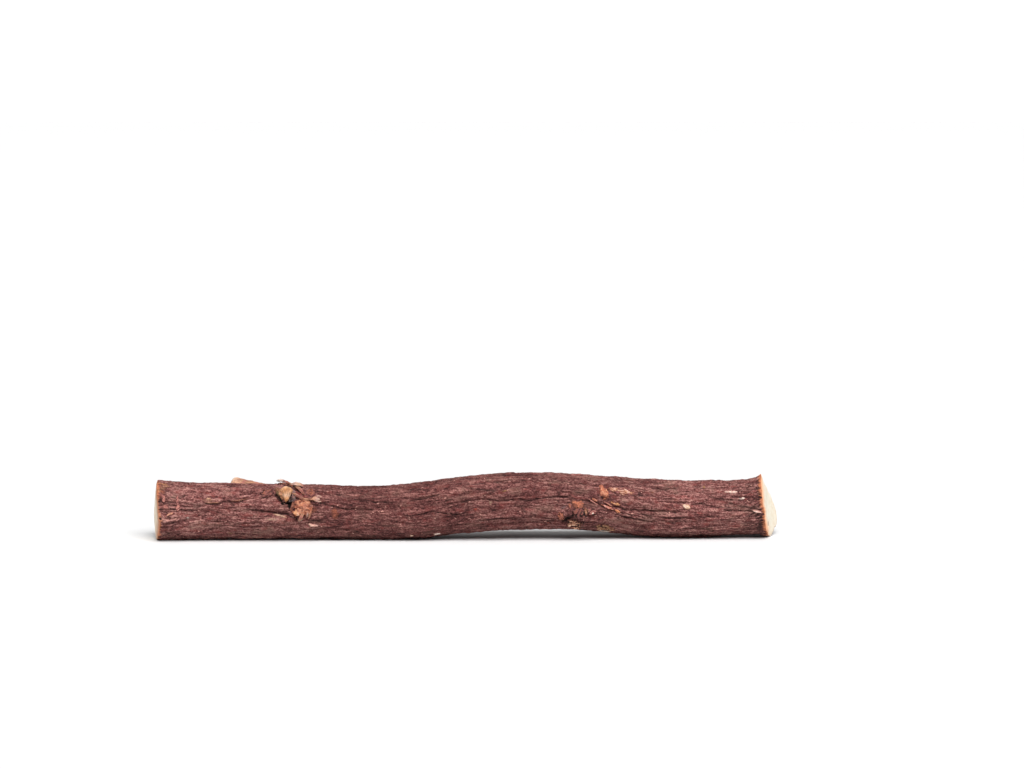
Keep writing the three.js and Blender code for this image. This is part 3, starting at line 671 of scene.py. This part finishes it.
def grid_faces(rows, columns, closed=True):
    """Quads over a grid, which may close round its columns."""
    start = np.arange(rows - 1)[:, None] * columns
    across = np.arange(columns if closed else columns - 1)
    a, b = (start + across).ravel(), (start + (across + 1) % columns).ravel()
    return np.stack([a, b, b + columns, a + columns], 1)


def unrolled(mesh):
    """A UV map of the bark as two strips, the left half above the right half."""
    rows, columns = np.divmod(np.arange((ROWS - 1) * ROUND), ROUND)
    half = (ROWS - 1) // 2
    lower = rows >= half
    u = (rows[:, None] + [0, 0, 1, 1] - half * lower[:, None]) / (ROWS - 1 - half)
    v = (columns[:, None] + [0, 1, 1, 0]) / ROUND * 0.49 + 0.5 * ~lower[:, None]
    places = np.stack([0.005 + 0.99 * u, 0.005 + 0.99 * v], -1)
    mesh.uv_layers.new(name="OFBake").data.foreach_set("uv", places.astype(np.float32).ravel())


def mesh_object(name, points, faces, material, colours=None, values=None):
    """A smooth mesh object from points in mm, with a colour and other named values at each point."""
    mesh = bpy.data.meshes.new(name)
    mesh.from_pydata((points * MM).tolist(), [], [list(map(int, f)) for f in faces])
    stored = dict(values or {})
    if colours is not None:
        stored = {"stain": colours, **stored}
    kinds = {"stain": ("FLOAT_COLOR", "color"), "flow": ("FLOAT_VECTOR", "vector")}
    for key, column in stored.items():
        kind, field = kinds.get(key, ("FLOAT", "value"))
        mesh.attributes.new(key, kind, "POINT").data.foreach_set(field, column.astype(np.float32).ravel())
    mesh.polygons.foreach_set("use_smooth", [True] * len(mesh.polygons))
    mesh.materials.append(material)
    mesh.update()
    thing = bpy.data.objects.new(name, mesh)
    bpy.context.scene.collection.objects.link(thing)
    return thing


def dress(thing):
    """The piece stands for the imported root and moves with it."""
    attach(thing, "root")
    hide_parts("licorice_root")
    return thing


class Bark:
    """The bark from rim to rim, as a grid of points."""

    def __init__(self, form):
        self.form = form
        self.turns = np.arange(ROUND) * 2 * math.pi / ROUND
        left, right = (np.array([form.rim(end, t) for t in self.turns]) for end in (-1, 1))
        left, right = (blurred(rim, 1.2, 0, True) for rim in (left, right))
        left, right = left + rim_stray(-1, self.turns), right + rim_stray(1, self.turns)
        share = np.linspace(0, 1, ROWS)[:, None]
        self.x = left + (right - left) * share
        self.turn = np.broadcast_to(self.turns, self.x.shape)
        sampled = np.clip(self.x, left + RIM_MARGIN, right - RIM_MARGIN)
        raw = np.array([[form.radius(x, turn) for x, turn in zip(row, self.turns)] for row in sampled])
        raw = without_stub(raw, self.x, self.turns)
        smooth = blurred(raw, FORM_BLUR[0] / (ROOT_LENGTH / ROWS), 0, False)
        self.radius = blurred(smooth, FORM_BLUR[1] / (ROOT_GIRTH / ROUND), 1, True)
        self.middle_y, self.middle_z = form.middle_y(self.x), form.middle_z(self.x)

        relief, groove_shade, self.off_shade_line, strayed = bark_relief(self.x, self.turn, self.radius)
        self.flow = np.stack([self.x, MEAN_RADIUS * np.cos(strayed), MEAN_RADIUS * np.sin(strayed)], -1) * MM
        rims, furrows, off_furrow = rim_shape(self.x, self.turn, left, right)
        # the rim furrows' middles are painted black too, as painted shade
        self.off_shade_line = np.minimum(self.off_shade_line, off_furrow)
        stain = np.zeros(self.x.shape + (4,))
        relief, self.stain, self.hollow_shade = patched(self.x, self.turn, self.radius, relief + rims, stain)
        # painted shade of the valleys, cracks and rim furrows
        self.groove_shade = np.clip(groove_shade + furrows, 0, 1)
        # painted shadow along the root
        self.painted_shadow = np.broadcast_to(np.interp(self.x, *np.array(SHADOW_ALONG).T), self.x.shape)
        to_rim = np.minimum(self.x - left + 0.5, right - self.x)
        self.to_rim = to_rim + 0.45 * noise(self.x, self.turn, 2.2, 64, 401)
        reach = self.radius + relief
        self.points = np.stack(
            [
                self.x,
                self.middle_y - reach * np.sin(self.turn),
                np.maximum(self.middle_z + reach * np.cos(self.turn), 0.0),
            ],
            -1,
        )

    def piece(self, material):
        values = {
            "groove_shade": self.groove_shade,
            "off_shade_line": self.off_shade_line,
            "hollow_shade": self.hollow_shade,
            "to_rim": self.to_rim,
            "shade": self.painted_shadow,
            "flow": self.flow,
        }
        flat, faces = self.points.reshape(-1, 3), grid_faces(ROWS, ROUND)
        made = mesh_object("bark", flat, faces, material, self.stain, values)
        unrolled(made.data)
        return made

    def at(self, x, turn, lift):
        """Points that far above the bark's form; all three may be arrays."""
        x, turn, lift = np.broadcast_arrays(x, turn, lift)
        column = turn / (2 * math.pi) % 1 * ROUND
        c0 = np.floor(column).astype(int) % ROUND
        c1, fc = (c0 + 1) % ROUND, column - np.floor(column)
        left = self.x[0, c0] * (1 - fc) + self.x[0, c1] * fc
        right = self.x[-1, c0] * (1 - fc) + self.x[-1, c1] * fc
        x = np.clip(x, left, right)
        row = np.clip((x - left) / (right - left), 0, 1) * (ROWS - 1.001)
        r0 = row.astype(int)
        fr = row - r0
        near, far = (self.radius[row, c0] * (1 - fc) + self.radius[row, c1] * fc for row in (r0, r0 + 1))
        reach = near * (1 - fr) + far * fr + lift
        y, z = self.form.middle_y(x) - reach * np.sin(turn), self.form.middle_z(x) + reach * np.cos(turn)
        return np.stack([x, y, z], -1)


def curved(y, z):
    """The terms of a surface that bows in y and z."""
    return np.stack([np.ones_like(y), y, z, y * y, y * z, z * z], -1)


def cut_face(name, form, bark, end, material):
    """The wood of one cut: the solid's bowed cut, brought out to the bark's rim."""
    rim = bark.points[-1 if end > 0 else 0]
    centre = rim.mean(0)
    inner = np.concatenate([centre + (rim - centre) * share for share in FACE_SAMPLES])
    seen = [form.face(end, y, z) for _, y, z in inner]
    bow = np.linalg.lstsq(curved(inner[:, 1], inner[:, 2]), seen, rcond=None)[0]
    stray = rim[:, 0] - curved(rim[:, 1], rim[:, 2]) @ bow
    broad = blurred(stray, 9, 0, True)
    shares = 1 - (np.arange(FACE_RINGS) / FACE_RINGS) ** 0.8
    points = []
    for share in shares:
        ring = centre + (rim - centre) * share
        ring[:, 0] = curved(ring[:, 1], ring[:, 2]) @ bow + broad * share**1.3 + (stray - broad) * share**10
        points.append(ring)
    grid = np.stack(points)
    outward = np.broadcast_to(shares[:, None], grid.shape[:2])
    turn = np.broadcast_to(bark.turns, outward.shape)
    rough = 0.05 * noise(grid[..., 2], turn, 1.1, 60, 300) + 0.03 * noise(grid[..., 1], turn, 0.5, 90, 301)
    rough = rough * np.clip(1.6 * outward, 0, 1) ** 2
    rounded = FACE_ROUNDING * np.clip((1 - outward) * 14, 0, 1) ** 0.5
    slot_y, slot_z, slot_width, slot_height, slot_depth = FACE_SLOT
    off_slot = ((grid[..., 1] - slot_y) / slot_width) ** 2, ((grid[..., 2] - slot_z) / slot_height) ** 4
    slot = np.exp(-off_slot[0] - off_slot[1]) * (end > 0)
    grid[1:, :, 0] += end * (rough * np.clip((1 - outward) * 12, 0, 1) + rounded - slot_depth * slot)[1:]
    middle = [curved(centre[1], centre[2]) @ bow, centre[1], centre[2]]
    flat = np.concatenate([grid.reshape(-1, 3), [middle]])
    faces = [list(f) for f in grid_faces(FACE_RINGS, ROUND)]
    last = (FACE_RINGS - 1) * ROUND
    faces += [[last + k, last + (k + 1) % ROUND, len(flat) - 1] for k in range(ROUND)]
    if end < 0:
        faces = [f[::-1] for f in faces]
    rays = layered(outward * 9, turn, FACE_RAYS, 302)
    least, before = FACE_WARMTH
    toward_viewer = least + (1 - least) * np.clip(np.sin(turn + math.radians(before)) * 2.5, 0, 1)
    values = {"outward": outward, "rays": rays, "slot": slot, "warmth": toward_viewer}
    values = {key: np.append(column.ravel(), 0.0) for key, column in values.items()}
    return mesh_object(name, flat, faces, material, None, values)


# Torn bark.


def level(u, v, cell_u, cell_v, seed):
    """Noise on a flat sheet measured in mm."""
    return noise(u, v / 20, cell_u, max(3, int(40 * math.pi / cell_v)), seed)


def ramped(names, place):
    """Colours along a row of named ones, at places from 0 to 1."""
    table = np.array([linear(name) for name in names])
    stops = np.linspace(0, 1, len(names))
    return np.stack([np.interp(place, stops, table[:, k]) for k in range(3)], -1)


def with_alpha(colours):
    return np.concatenate([colours, np.ones(colours.shape[:-1] + (1,))], -1)


def scar(bark, row, seed):
    """A raised ragged patch: its points, faces and colours. Its border goes down into the bark."""
    x, turn, length, width, tilt, lift, (angle, cell, height), pits, colours = row
    step = SCAR_STEP if length > 1 else SMALL_SCAR_STEP
    u, v = np.meshgrid(
        np.linspace(-0.75, 0.75, int(1.5 * length / step) + 4) * length,
        np.linspace(-0.75, 0.75, int(1.5 * width / step) + 4) * width,
        indexing="ij",
    )
    ragged = 1 + 0.35 * level(u, v, 1.1, 0.9, seed) + 0.22 * level(u, v, 0.45, 0.4, seed + 1)
    out = np.hypot(2 * u / length, 2 * v / width) / ragged
    dome = np.clip((1.12 - out) / 0.35, 0, 1) ** 0.7
    a = math.radians(angle)
    lengthwise, crosswise = u * math.cos(a) - v * math.sin(a), u * math.sin(a) + v * math.cos(a)
    ridge = 1 - 2 * abs(level(lengthwise, crosswise, 3 * cell, cell, seed + 2))
    fine = level(lengthwise, crosswise, 0.5, 0.25, seed + 3)
    pit = np.clip(level(u, v, 0.9, 0.7, seed + 4) * 2.2 - 0.5, 0, 1)
    relief = height * ridge + 0.05 * fine - pits * pit
    # painted shade: the tone follows the ridges and falls in the pits, so low places and pits take the darkest
    # colours
    tone = 0.5 + 0.42 * (ridge - 0.35) + 0.25 * fine + 0.15 * level(u, v, 1.5, 1.2, seed + 5)
    tone = tone - 1.1 * pit * (pits > 0)
    c, s = math.cos(math.radians(tilt)), math.sin(math.radians(tilt))
    above = (lift + relief) * dome - 0.5 * np.clip((out - 0.95) / 0.3, 0, 1)
    points = bark.at(x + u * c + v * s, math.radians(turn) + (v * c - u * s) / MEAN_RADIUS, above)
    points[..., 2] = np.maximum(points[..., 2], LOWEST)
    # painted shade at the border, darker where it goes down into the bark
    shade = np.clip(tone - 0.5 * np.clip((out - 0.8) / 0.3, 0, 1), 0, 1)
    paint = with_alpha(ramped(colours, shade))
    return points.reshape(-1, 3), grid_faces(*u.shape, closed=False), paint.reshape(-1, 4)


def smooth_path(stations, steps):
    """A smooth curve through rows of numbers."""
    rows = np.array(stations, dtype=float)
    padded = np.concatenate([[2 * rows[0] - rows[1]], rows, [2 * rows[-1] - rows[-2]]])
    t = np.linspace(0, len(rows) - 1, steps)
    k = np.minimum(t.astype(int), len(rows) - 2)
    f = (t - k)[:, None]
    a, b, c, d = (padded[k + n] for n in range(4))
    return 0.5 * (2 * b + (c - a) * f + (2 * a - 5 * b + 4 * c - d) * f**2 + (3 * b - a - 3 * c + d) * f**3)


def strand(centres, outward, across, thick, colours, blunt, rough, seed, sides=28, lumpy=0.3, cells=(2.6, 9)):
    """A closed strip or lump along its centres: points, faces and colours. The cells are its furrows': their
    length, and their number round."""
    steps = len(centres)
    along = np.gradient(centres, axis=0)
    along /= np.linalg.norm(along, axis=1)[:, None]
    side = np.cross(along, outward)
    side /= np.linalg.norm(side, axis=1)[:, None]
    up = np.cross(side, along)
    u = np.linspace(0, 1, steps)[:, None]
    end = np.sqrt(np.clip(1 - abs(2 * u - 1) ** blunt, 0.0, 1))
    phi = -np.arange(sides)[None, :] * 2 * math.pi / sides
    travelled = np.concatenate([[0], np.cumsum(np.linalg.norm(np.diff(centres, axis=0), axis=1))])[:, None]
    travelled, phi = np.broadcast_arrays(travelled, phi)
    lumps = layered(travelled, phi, STRAND_LUMPS, seed)
    threads = np.exp(-((noise(travelled, phi, *cells, seed + 2) / 0.22) ** 2))
    factor = end * (1 + lumpy * lumps)
    sideways, upward = (across[:, None] * np.cos(phi))[..., None], (thick[:, None] * np.sin(phi))[..., None]
    shape = side[:, None] * sideways + up[:, None] * upward
    size = np.linalg.norm(shape, axis=-1, keepdims=True)
    points = centres[:, None] + shape * factor[..., None] - shape / size * (rough * threads * end)[..., None]
    points[..., 2] = np.maximum(points[..., 2], LOWEST)
    # painted shade: the threads' sunken furrows are painted darker
    tints = ramped(colours, np.clip(u + 0.06 * lumps, 0, 1)) * (1 - 0.55 * (threads * end**0.3)[..., None])
    flat = np.concatenate([points.reshape(-1, 3), points[:1].mean(1), points[-1:].mean(1)])
    paint = np.concatenate([tints.reshape(-1, 3), tints[:1].mean(1), tints[-1:].mean(1)])
    ring, last = np.arange(sides), (steps - 1) * sides
    after = (ring + 1) % sides
    faces = [list(f) for f in grid_faces(steps, sides)]
    faces += [[after[k], ring[k], len(flat) - 2] for k in ring]
    faces += [[last + ring[k], last + after[k], len(flat) - 1] for k in ring]
    return flat, faces, with_alpha(paint)


def bark_strand(bark, row, seed):
    """A strand whose stations are measured from the bark."""
    blunt, rough, colours, stations = row
    along_root, round_root = (abs(np.diff([s[k] for s in stations])).sum() for k in (0, 1))
    length = DEGREE * max(round_root, 1) + along_root
    x, turn, lift, across, thick = smooth_path(stations, max(14, int(length / STRAND_STEP))).T
    turn = np.radians(turn)
    outward = np.stack([np.zeros(len(turn)), -np.sin(turn), np.cos(turn)], -1)
    return strand(bark.at(x, turn, lift), outward, across, thick, colours, blunt, rough, seed)


def joined(name, parts, material):
    """One object from lists of points, faces and colours."""
    points, faces, colours, start = [], [], [], 0
    for some_points, some_faces, some_colours in parts:
        points.append(some_points)
        colours.append(some_colours)
        faces += [[int(k) + start for k in face] for face in some_faces]
        start += len(some_points)
    return mesh_object(name, np.concatenate(points), faces, material, np.concatenate(colours))


def torn_place(name, bark, scars, strands, material):
    base = 1000 + 50 * sum(ord(letter) for letter in name)
    parts = [scar(bark, row, base + 10 * k) for k, row in enumerate(scars)]
    parts += [bark_strand(bark, row, base + 500 + 10 * k) for k, row in enumerate(strands)]
    return joined(name, parts, material)


def side_root(material):
    """The stub of a side root, which the solid holds too."""
    path = smooth_path(SIDE_ROOT, 90)
    outward = np.broadcast_to(SIDE_ROOT_OUTWARD, (len(path), 3))
    centres, across, thick = path[:, :3], path[:, 3], path[:, 4]
    made = strand(centres, outward, across, thick, SIDE_ROOT_COLOURS, 30, 0.1, 77, 96, 0.05, (9.0, 30))
    return joined("side_root", [made], material)


# Nodes, for the loose flakes and the materials.


def add_node(tree, kind, inputs=(), **settings):
    """Adds a node: its settings first, then the values or links of its sockets, by place or by name."""
    made = tree.nodes.new(kind)
    for key, value in settings.items():
        setattr(made, key, value)
    for key, value in inputs.items() if isinstance(inputs, dict) else enumerate(inputs):
        source = getattr(value, "output", value)
        if isinstance(source, bpy.types.NodeSocket):
            tree.links.new(source, made.inputs[key])
        else:
            made.inputs[key].default_value = value
    return made


# Loose flakes.


def flake_tree():
    """Geometry nodes: small flakes that lie along the root on the parts of it that don't face the floor."""
    tree = bpy.data.node_groups.new("loose_flakes", "GeometryNodeTree")
    kinds = {
        "Ground": "Geometry",
        "Flakes per square metre": "Float",
        "Smallest": "Vector",
        "Largest": "Vector",
        "Seed": "Int",
        "Material": "Material",
    }
    for name, kind in kinds.items():
        tree.interface.new_socket(name, in_out="INPUT", socket_type="NodeSocket" + kind)
    tree.interface.new_socket("Flakes", in_out="OUTPUT", socket_type="NodeSocketGeometry")

    def add(kind, inputs=(), **settings):
        return add_node(tree, kind, inputs, **settings)

    given = add("NodeGroupInput").outputs
    normal = add("GeometryNodeInputNormal").outputs[0]
    height = add("ShaderNodeSeparateXYZ", {0: normal}).outputs[2]
    heights = {0: height, 1: FLAKE_LOWEST}
    clear = add("FunctionNodeCompare", heights, data_type="FLOAT", operation="GREATER_THAN").outputs[0]
    density = given["Flakes per square metre"]
    spread = add(
        "GeometryNodeDistributePointsOnFaces",
        {"Mesh": given["Ground"], "Selection": clear, "Density": density, "Seed": given["Seed"]},
    )
    align = "FunctionNodeAlignRotationToVector"
    upright = add(align, {"Vector": spread.outputs["Normal"]}, axis="Z").outputs[0]
    lengthwise = add(align, {"Rotation": upright, "Vector": (1, 0, 0)}, axis="X", pivot_axis="Z").outputs[0]
    swings = {2: -FLAKE_SWING, 3: FLAKE_SWING, "Seed": given["Seed"]}
    angle = add("FunctionNodeRandomValue", swings, data_type="FLOAT").outputs[1]
    swing = add("FunctionNodeAxisAngleToRotation", {"Axis": (0, 0, 1), "Angle": angle}).outputs[0]
    both = {"Rotation": lengthwise, "Rotate By": swing}
    swung = add("FunctionNodeRotateRotation", both, rotation_space="LOCAL").outputs[0]
    sizes = {0: given["Smallest"], 1: given["Largest"]}
    size = add("FunctionNodeRandomValue", sizes, data_type="FLOAT_VECTOR").outputs[0]
    size = add("ShaderNodeVectorMath", {0: size, 1: (MM, MM, MM)}, operation="MULTIPLY").outputs[0]
    ball = add("GeometryNodeMeshUVSphere", {"Segments": 8, "Rings": 5, "Radius": 1.0}).outputs[0]
    uneven = add("ShaderNodeTexNoise", {"Scale": 1.4, "Detail": 2.0}, normalize=False).outputs["Color"]
    uneven = add("ShaderNodeVectorMath", {0: uneven, 1: (0.7, 0.7, 0.7)}, operation="MULTIPLY").outputs[0]
    chip = add("GeometryNodeSetPosition", {"Geometry": ball, "Offset": uneven}).outputs[0]
    flakes = add(
        "GeometryNodeInstanceOnPoints",
        {"Points": spread.outputs["Points"], "Instance": chip, "Rotation": swung, "Scale": size},
    ).outputs[0]
    share = add("FunctionNodeRandomValue", {"Seed": 3}, data_type="FLOAT").outputs[1]
    tints = {0: share, 6: (*linear("bark"), 1), 7: (*linear("fleck"), 1)}
    tint = add("ShaderNodeMix", tints, data_type="RGBA").outputs[2]
    stained = add(
        "GeometryNodeStoreNamedAttribute",
        {"Geometry": flakes, "Name": "stain", "Value": tint},
        data_type="FLOAT_COLOR",
        domain="INSTANCE",
    ).outputs[0]
    real = add("GeometryNodeRealizeInstances", {"Geometry": stained}).outputs[0]
    smooth = add("GeometryNodeSetShadeSmooth", {"Geometry": real}).outputs[0]
    done = add("GeometryNodeSetMaterial", {"Geometry": smooth, "Material": given["Material"]}).outputs[0]
    add("NodeGroupOutput", {"Flakes": done})
    return tree


def scattered(name, ground, material):
    """Flakes over the ground's mesh, as a plain mesh object."""
    holder = bpy.data.objects.new("ground", ground.data)
    bpy.context.scene.collection.objects.link(holder)
    modifier = holder.modifiers.new("flakes", "NODES")
    modifier.node_group = flake_tree()
    given = {**FLAKES, "Material": material}
    for socket in modifier.node_group.interface.items_tree:
        if socket.name in given:
            modifier[socket.identifier] = given[socket.name]
    graph = bpy.context.evaluated_depsgraph_get()
    final = holder.evaluated_get(graph)
    mesh = bpy.data.meshes.new_from_object(final, preserve_all_data_layers=True, depsgraph=graph)
    bpy.data.objects.remove(holder)
    piece = bpy.data.objects.new(name, mesh)
    bpy.context.scene.collection.objects.link(piece)
    return piece


# Materials.


class Wire:
    """A node's output, written in formulas as a number."""

    def __init__(self, recipe, output):
        self.recipe, self.output = recipe, output

    def math(self, operation, first, second):
        return self.recipe.node("ShaderNodeMath", [first, second], operation=operation)

    def __add__(self, other):
        return self.math("ADD", self, other)

    def __mul__(self, other):
        return self.math("MULTIPLY", self, other)

    def __sub__(self, other):
        return self.math("SUBTRACT", self, other)

    def __rsub__(self, other):
        return self.math("SUBTRACT", other, self)

    __radd__, __rmul__ = __add__, __mul__

    def share(self, low, high, way="LINEAR"):
        """0 at low, 1 at high, and straight between them."""
        return self.recipe.node("ShaderNodeMapRange", [self, low, high, 0.0, 1.0], interpolation_type=way)

    def between(self, low, high):
        """0 below low, 1 above high, and smooth between them."""
        return self.share(low, high, "SMOOTHSTEP")


class Recipe:
    """A material under construction."""

    def __init__(self, name):
        self.material = bpy.data.materials.new(name)
        self.material.use_nodes = True
        self.tree = self.material.node_tree
        self.tree.nodes.clear()

    def node(self, kind, inputs=(), output=0, **settings):
        return Wire(self, add_node(self.tree, kind, inputs, **settings).outputs[output])

    def mix(self, share, first, second, blend="MIX"):
        """Mixes two colours, each of them a wire or one of the named colours."""
        first, second = ((*linear(c), 1.0) if isinstance(c, str) else c for c in (first, second))
        inputs = {0: share, 6: first, 7: second}
        return self.node("ShaderNodeMix", inputs, 2, data_type="RGBA", blend_type=blend)

    def stored(self, name, part="Fac"):
        """A value that is stored on the mesh."""
        return self.node("ShaderNodeAttribute", output=part, attribute_name=name)

    def noise(self, stretch, detail, roughness, distortion=0.0, place=None):
        """Noise from 0 to 1 with features of about that size in mm, along the axes of the object or a place."""
        place = place or self.node("ShaderNodeTexCoord", output="Object")
        scaled = self.node("ShaderNodeMapping", {"Vector": place, "Scale": tuple(1000 / s for s in stretch)})
        inputs = {"Vector": scaled, "Scale": 1.0, "Detail": detail, "Roughness": roughness}
        return self.node("ShaderNodeTexNoise", {**inputs, "Distortion": distortion})

    def bump(self, height, distance):
        return self.node("ShaderNodeBump", {"Height": height, "Distance": distance * MM, "Strength": 1.0})

    def finish(self, colour, roughness, **others):
        """Feeds the shader; the other sockets' names have underscores for spaces."""
        inputs = {"Base Color": colour, "Roughness": roughness}
        inputs.update({key.replace("_", " "): value for key, value in others.items()})
        shader = self.node("ShaderNodeBsdfPrincipled", inputs)
        add_node(self.tree, "ShaderNodeOutputMaterial", {"Surface": shader})
        return self.material


def bark_material():
    m = Recipe("root_bark")
    flow = m.stored("flow", "Vector")
    speckle = m.noise((0.45, 0.34, 0.34), 2.0, 0.6, 0.3)
    grain = m.noise((1.15, 0.46, 0.46), 3.0, 0.65, 0.3, flow)
    fibres = m.noise((5.5, 0.55, 0.55), 3.0, 0.6, 0.4, flow)
    mottle = m.noise((6.0, 3.0, 3.0), 3.0, 0.6, 0.4)
    flecks = m.noise((0.9, 0.5, 0.5), 3.0, 0.6, 1.0)
    hue = m.noise((2.6, 1.3, 1.3), 3.0, 0.6)
    tone = speckle * 1.95 + grain * 1.7 + fibres * 1.75 + mottle * 0.9 - 2.61

    base = m.mix(tone.share(0.0, 0.5), "dark bark", "bark")
    base = m.mix(tone.share(0.5, 1.05), base, "dusty bark")
    base = m.mix(hue.between(0.5, 0.7) * 0.45, base, "red bark")
    base = m.mix(mottle.between(0.52, 0.7) * 0.4, base, "grey bark")
    base = m.mix(flecks.between(0.64, 0.74) * 0.6, base, "fleck")
    # painted shadow: the bark multiplied by the shade colour, most over the root's middle
    base = m.mix(m.stored("shade"), base, "shade", "MULTIPLY")

    speckled = m.mix(tone.share(1.0, 0.0) * 0.75, m.stored("stain", "Color"), base)
    base = m.mix(m.stored("stain", "Alpha").between(0.15, 0.6), base, speckled)

    # painted shade: the valleys, cracks and rim furrows painted toward dark bark
    groove_shade = m.stored("groove_shade")
    base = m.mix(groove_shade * 0.75, base, "dark bark")
    # painted shade: thin lines painted black along the middles of valleys, cracks and rim furrows
    line = m.stored("off_shade_line") + grain * 1.2 - 0.6
    base = m.mix((1.0 - line.between(0.1, 0.6)) * 0.65, base, "black")
    teeth = m.stored("to_rim") + groove_shade * 0.5 - fibres * 2.4 - grain * 0.6
    base = m.mix((1.0 - teeth.between(-1.0, -0.25)) * 0.85, base, "rim")
    # painted shade: the sunken black patches painted black
    base = m.mix((m.stored("hollow_shade") + grain * 0.3).between(0.45, 0.75), base, "black")
    height = speckle * 0.5 + grain * 0.8 + fibres * 0.7
    return m.finish(base, 0.85, Normal=m.bump(height, 1.0), Specular_IOR_Level=0.25)


def torn_material():
    """For the torn strips, scars and flakes, whose own colours are stored on them."""
    m = Recipe("torn_bark")
    grain = m.noise((0.7, 0.3, 0.3), 3.0, 0.65, 0.3)
    speckle = m.noise((0.28, 0.28, 0.28), 2.0, 0.6)
    weathered = m.noise((1.6, 0.8, 0.8), 3.0, 0.6)
    stain = m.stored("stain", "Color")
    tone = grain * 1.4 + speckle * 0.9 - 0.65
    base = m.mix(tone.share(0.05, 0.5), m.mix(0.5, stain, "dark bark"), stain)
    base = m.mix(weathered.between(0.5, 0.7) * 0.4, base, "bark")
    base = m.mix(tone.share(0.6, 1.0) * 0.3, base, "beige")
    return m.finish(base, 0.8, Normal=m.bump(grain * 0.8 + speckle * 0.4, 0.5), Specular_IOR_Level=0.3)


def wood_material(name, clean, shade, edge):
    """For a cut face: rays and clouds on clean wood, and a warm edge."""
    m = Recipe(name)
    outward, warmth = m.stored("outward"), m.stored("warmth")
    clouds = m.noise((1.6, 1.6, 1.6), 4.0, 0.6)
    grain = m.noise((0.35, 0.35, 0.35), 3.0, 0.6)
    base = m.mix(clouds.between(0.4, 0.7) * 0.6, clean, shade)
    base = m.mix(m.stored("rays").between(0.1, 0.9) * 0.35, base, shade)
    base = m.mix((outward + clouds * 0.12).between(0.5, 1.1) * warmth, base, edge)
    base = m.mix((outward + grain * 0.06).between(0.93, 1.05) * warmth * 0.85, base, "rim")
    base = m.mix(grain.between(0.62, 0.78) * 0.3, base, "tan")
    # painted shade: the slot painted dark bark
    base = m.mix(m.stored("slot").between(0.25, 0.8), base, "dark bark")
    return m.finish(base, 0.75, Normal=m.bump(clouds * 0.5 + grain * 0.5, 0.15), Specular_IOR_Level=0.3)


def floor_material():
    return Recipe("floor").finish((FLOOR_TONE, FLOOR_TONE, FLOOR_TONE, 1.0), 0.9)


def surround_material():
    black, white = (0, 0, 0, 1), (1, 1, 1, 1)
    return Recipe("surround").finish(black, 1.0, Emission_Color=white, Emission_Strength=SURROUND_GLOW)


# The studio, the camera and the order of work.


def studio():
    """A white sweep: soft light from above, a white floor, and a white surround that only the camera sees."""
    scene = bpy.context.scene
    scene.view_settings.view_transform = "Standard"
    world = bpy.data.worlds.new("soft_fill")
    scene.world = world
    world.use_nodes = True
    background = world.node_tree.nodes["Background"]
    background.inputs["Color"].default_value = (1, 1, 1, 1)
    background.inputs["Strength"].default_value = FILL_LIGHT

    bpy.ops.mesh.primitive_plane_add(size=FLOOR_SIDE)
    floor = bpy.context.object
    floor.name = "floor"
    floor.data.materials.append(floor_material())
    bpy.ops.mesh.primitive_uv_sphere_add(segments=32, ring_count=16, radius=SURROUND_RADIUS)
    surround = bpy.context.object
    surround.name = "surround"
    surround.data.materials.append(surround_material())
    surround.visible_diffuse = surround.visible_glossy = surround.visible_shadow = False
    surround.visible_transmission = surround.visible_volume_scatter = False

    for name, (energy, spread, turn) in SUNS.items():
        light = bpy.data.lights.new(name, "SUN")
        light.energy, light.angle = energy, math.radians(spread)
        lamp = bpy.data.objects.new(name, light)
        lamp.rotation_euler = [math.radians(angle) for angle in turn]
        scene.collection.objects.link(lamp)


def camera():
    data = bpy.data.cameras.new("camera")
    data.lens, data.sensor_width = CAMERA_LENS, CAMERA_SENSOR
    data.clip_start, data.clip_end = CAMERA_CLIP
    eye = bpy.data.objects.new("camera", data)
    turn, above = math.radians(CAMERA_TURN), math.radians(CAMERA_ABOVE)
    back = Vector((math.sin(turn) * math.cos(above), -math.cos(turn) * math.cos(above), math.sin(above)))
    eye.location = (Vector(CAMERA_PIVOT) + back * CAMERA_DISTANCE) * MM
    eye.rotation_euler = (math.radians(90 + CAMERA_PITCH), 0, math.radians(-CAMERA_PAN))
    bpy.context.scene.collection.objects.link(eye)
    bpy.context.scene.camera = eye


def main():
    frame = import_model()
    camera()
    studio()
    form = Form(frame["nodes"]["licorice_root"])
    bark = Bark(form)
    skin, torn = bark_material(), torn_material()
    bark_piece = dress(bark.piece(skin))
    fresh_wood = wood_material("cut_wood", "wood", "wood shade", "peach")
    dress(cut_face("cut_right", form, bark, 1, fresh_wood))
    old_wood = wood_material("old_cut_wood", "old wood", "old wood shade", "tan")
    dress(cut_face("cut_left", form, bark, -1, old_wood))
    dress(side_root(torn))
    for name, scars, strands in TORN_PLACES:
        dress(torn_place(name, bark, scars, strands, torn))
    dress(scattered("loose_flakes", bark_piece, torn))


main()
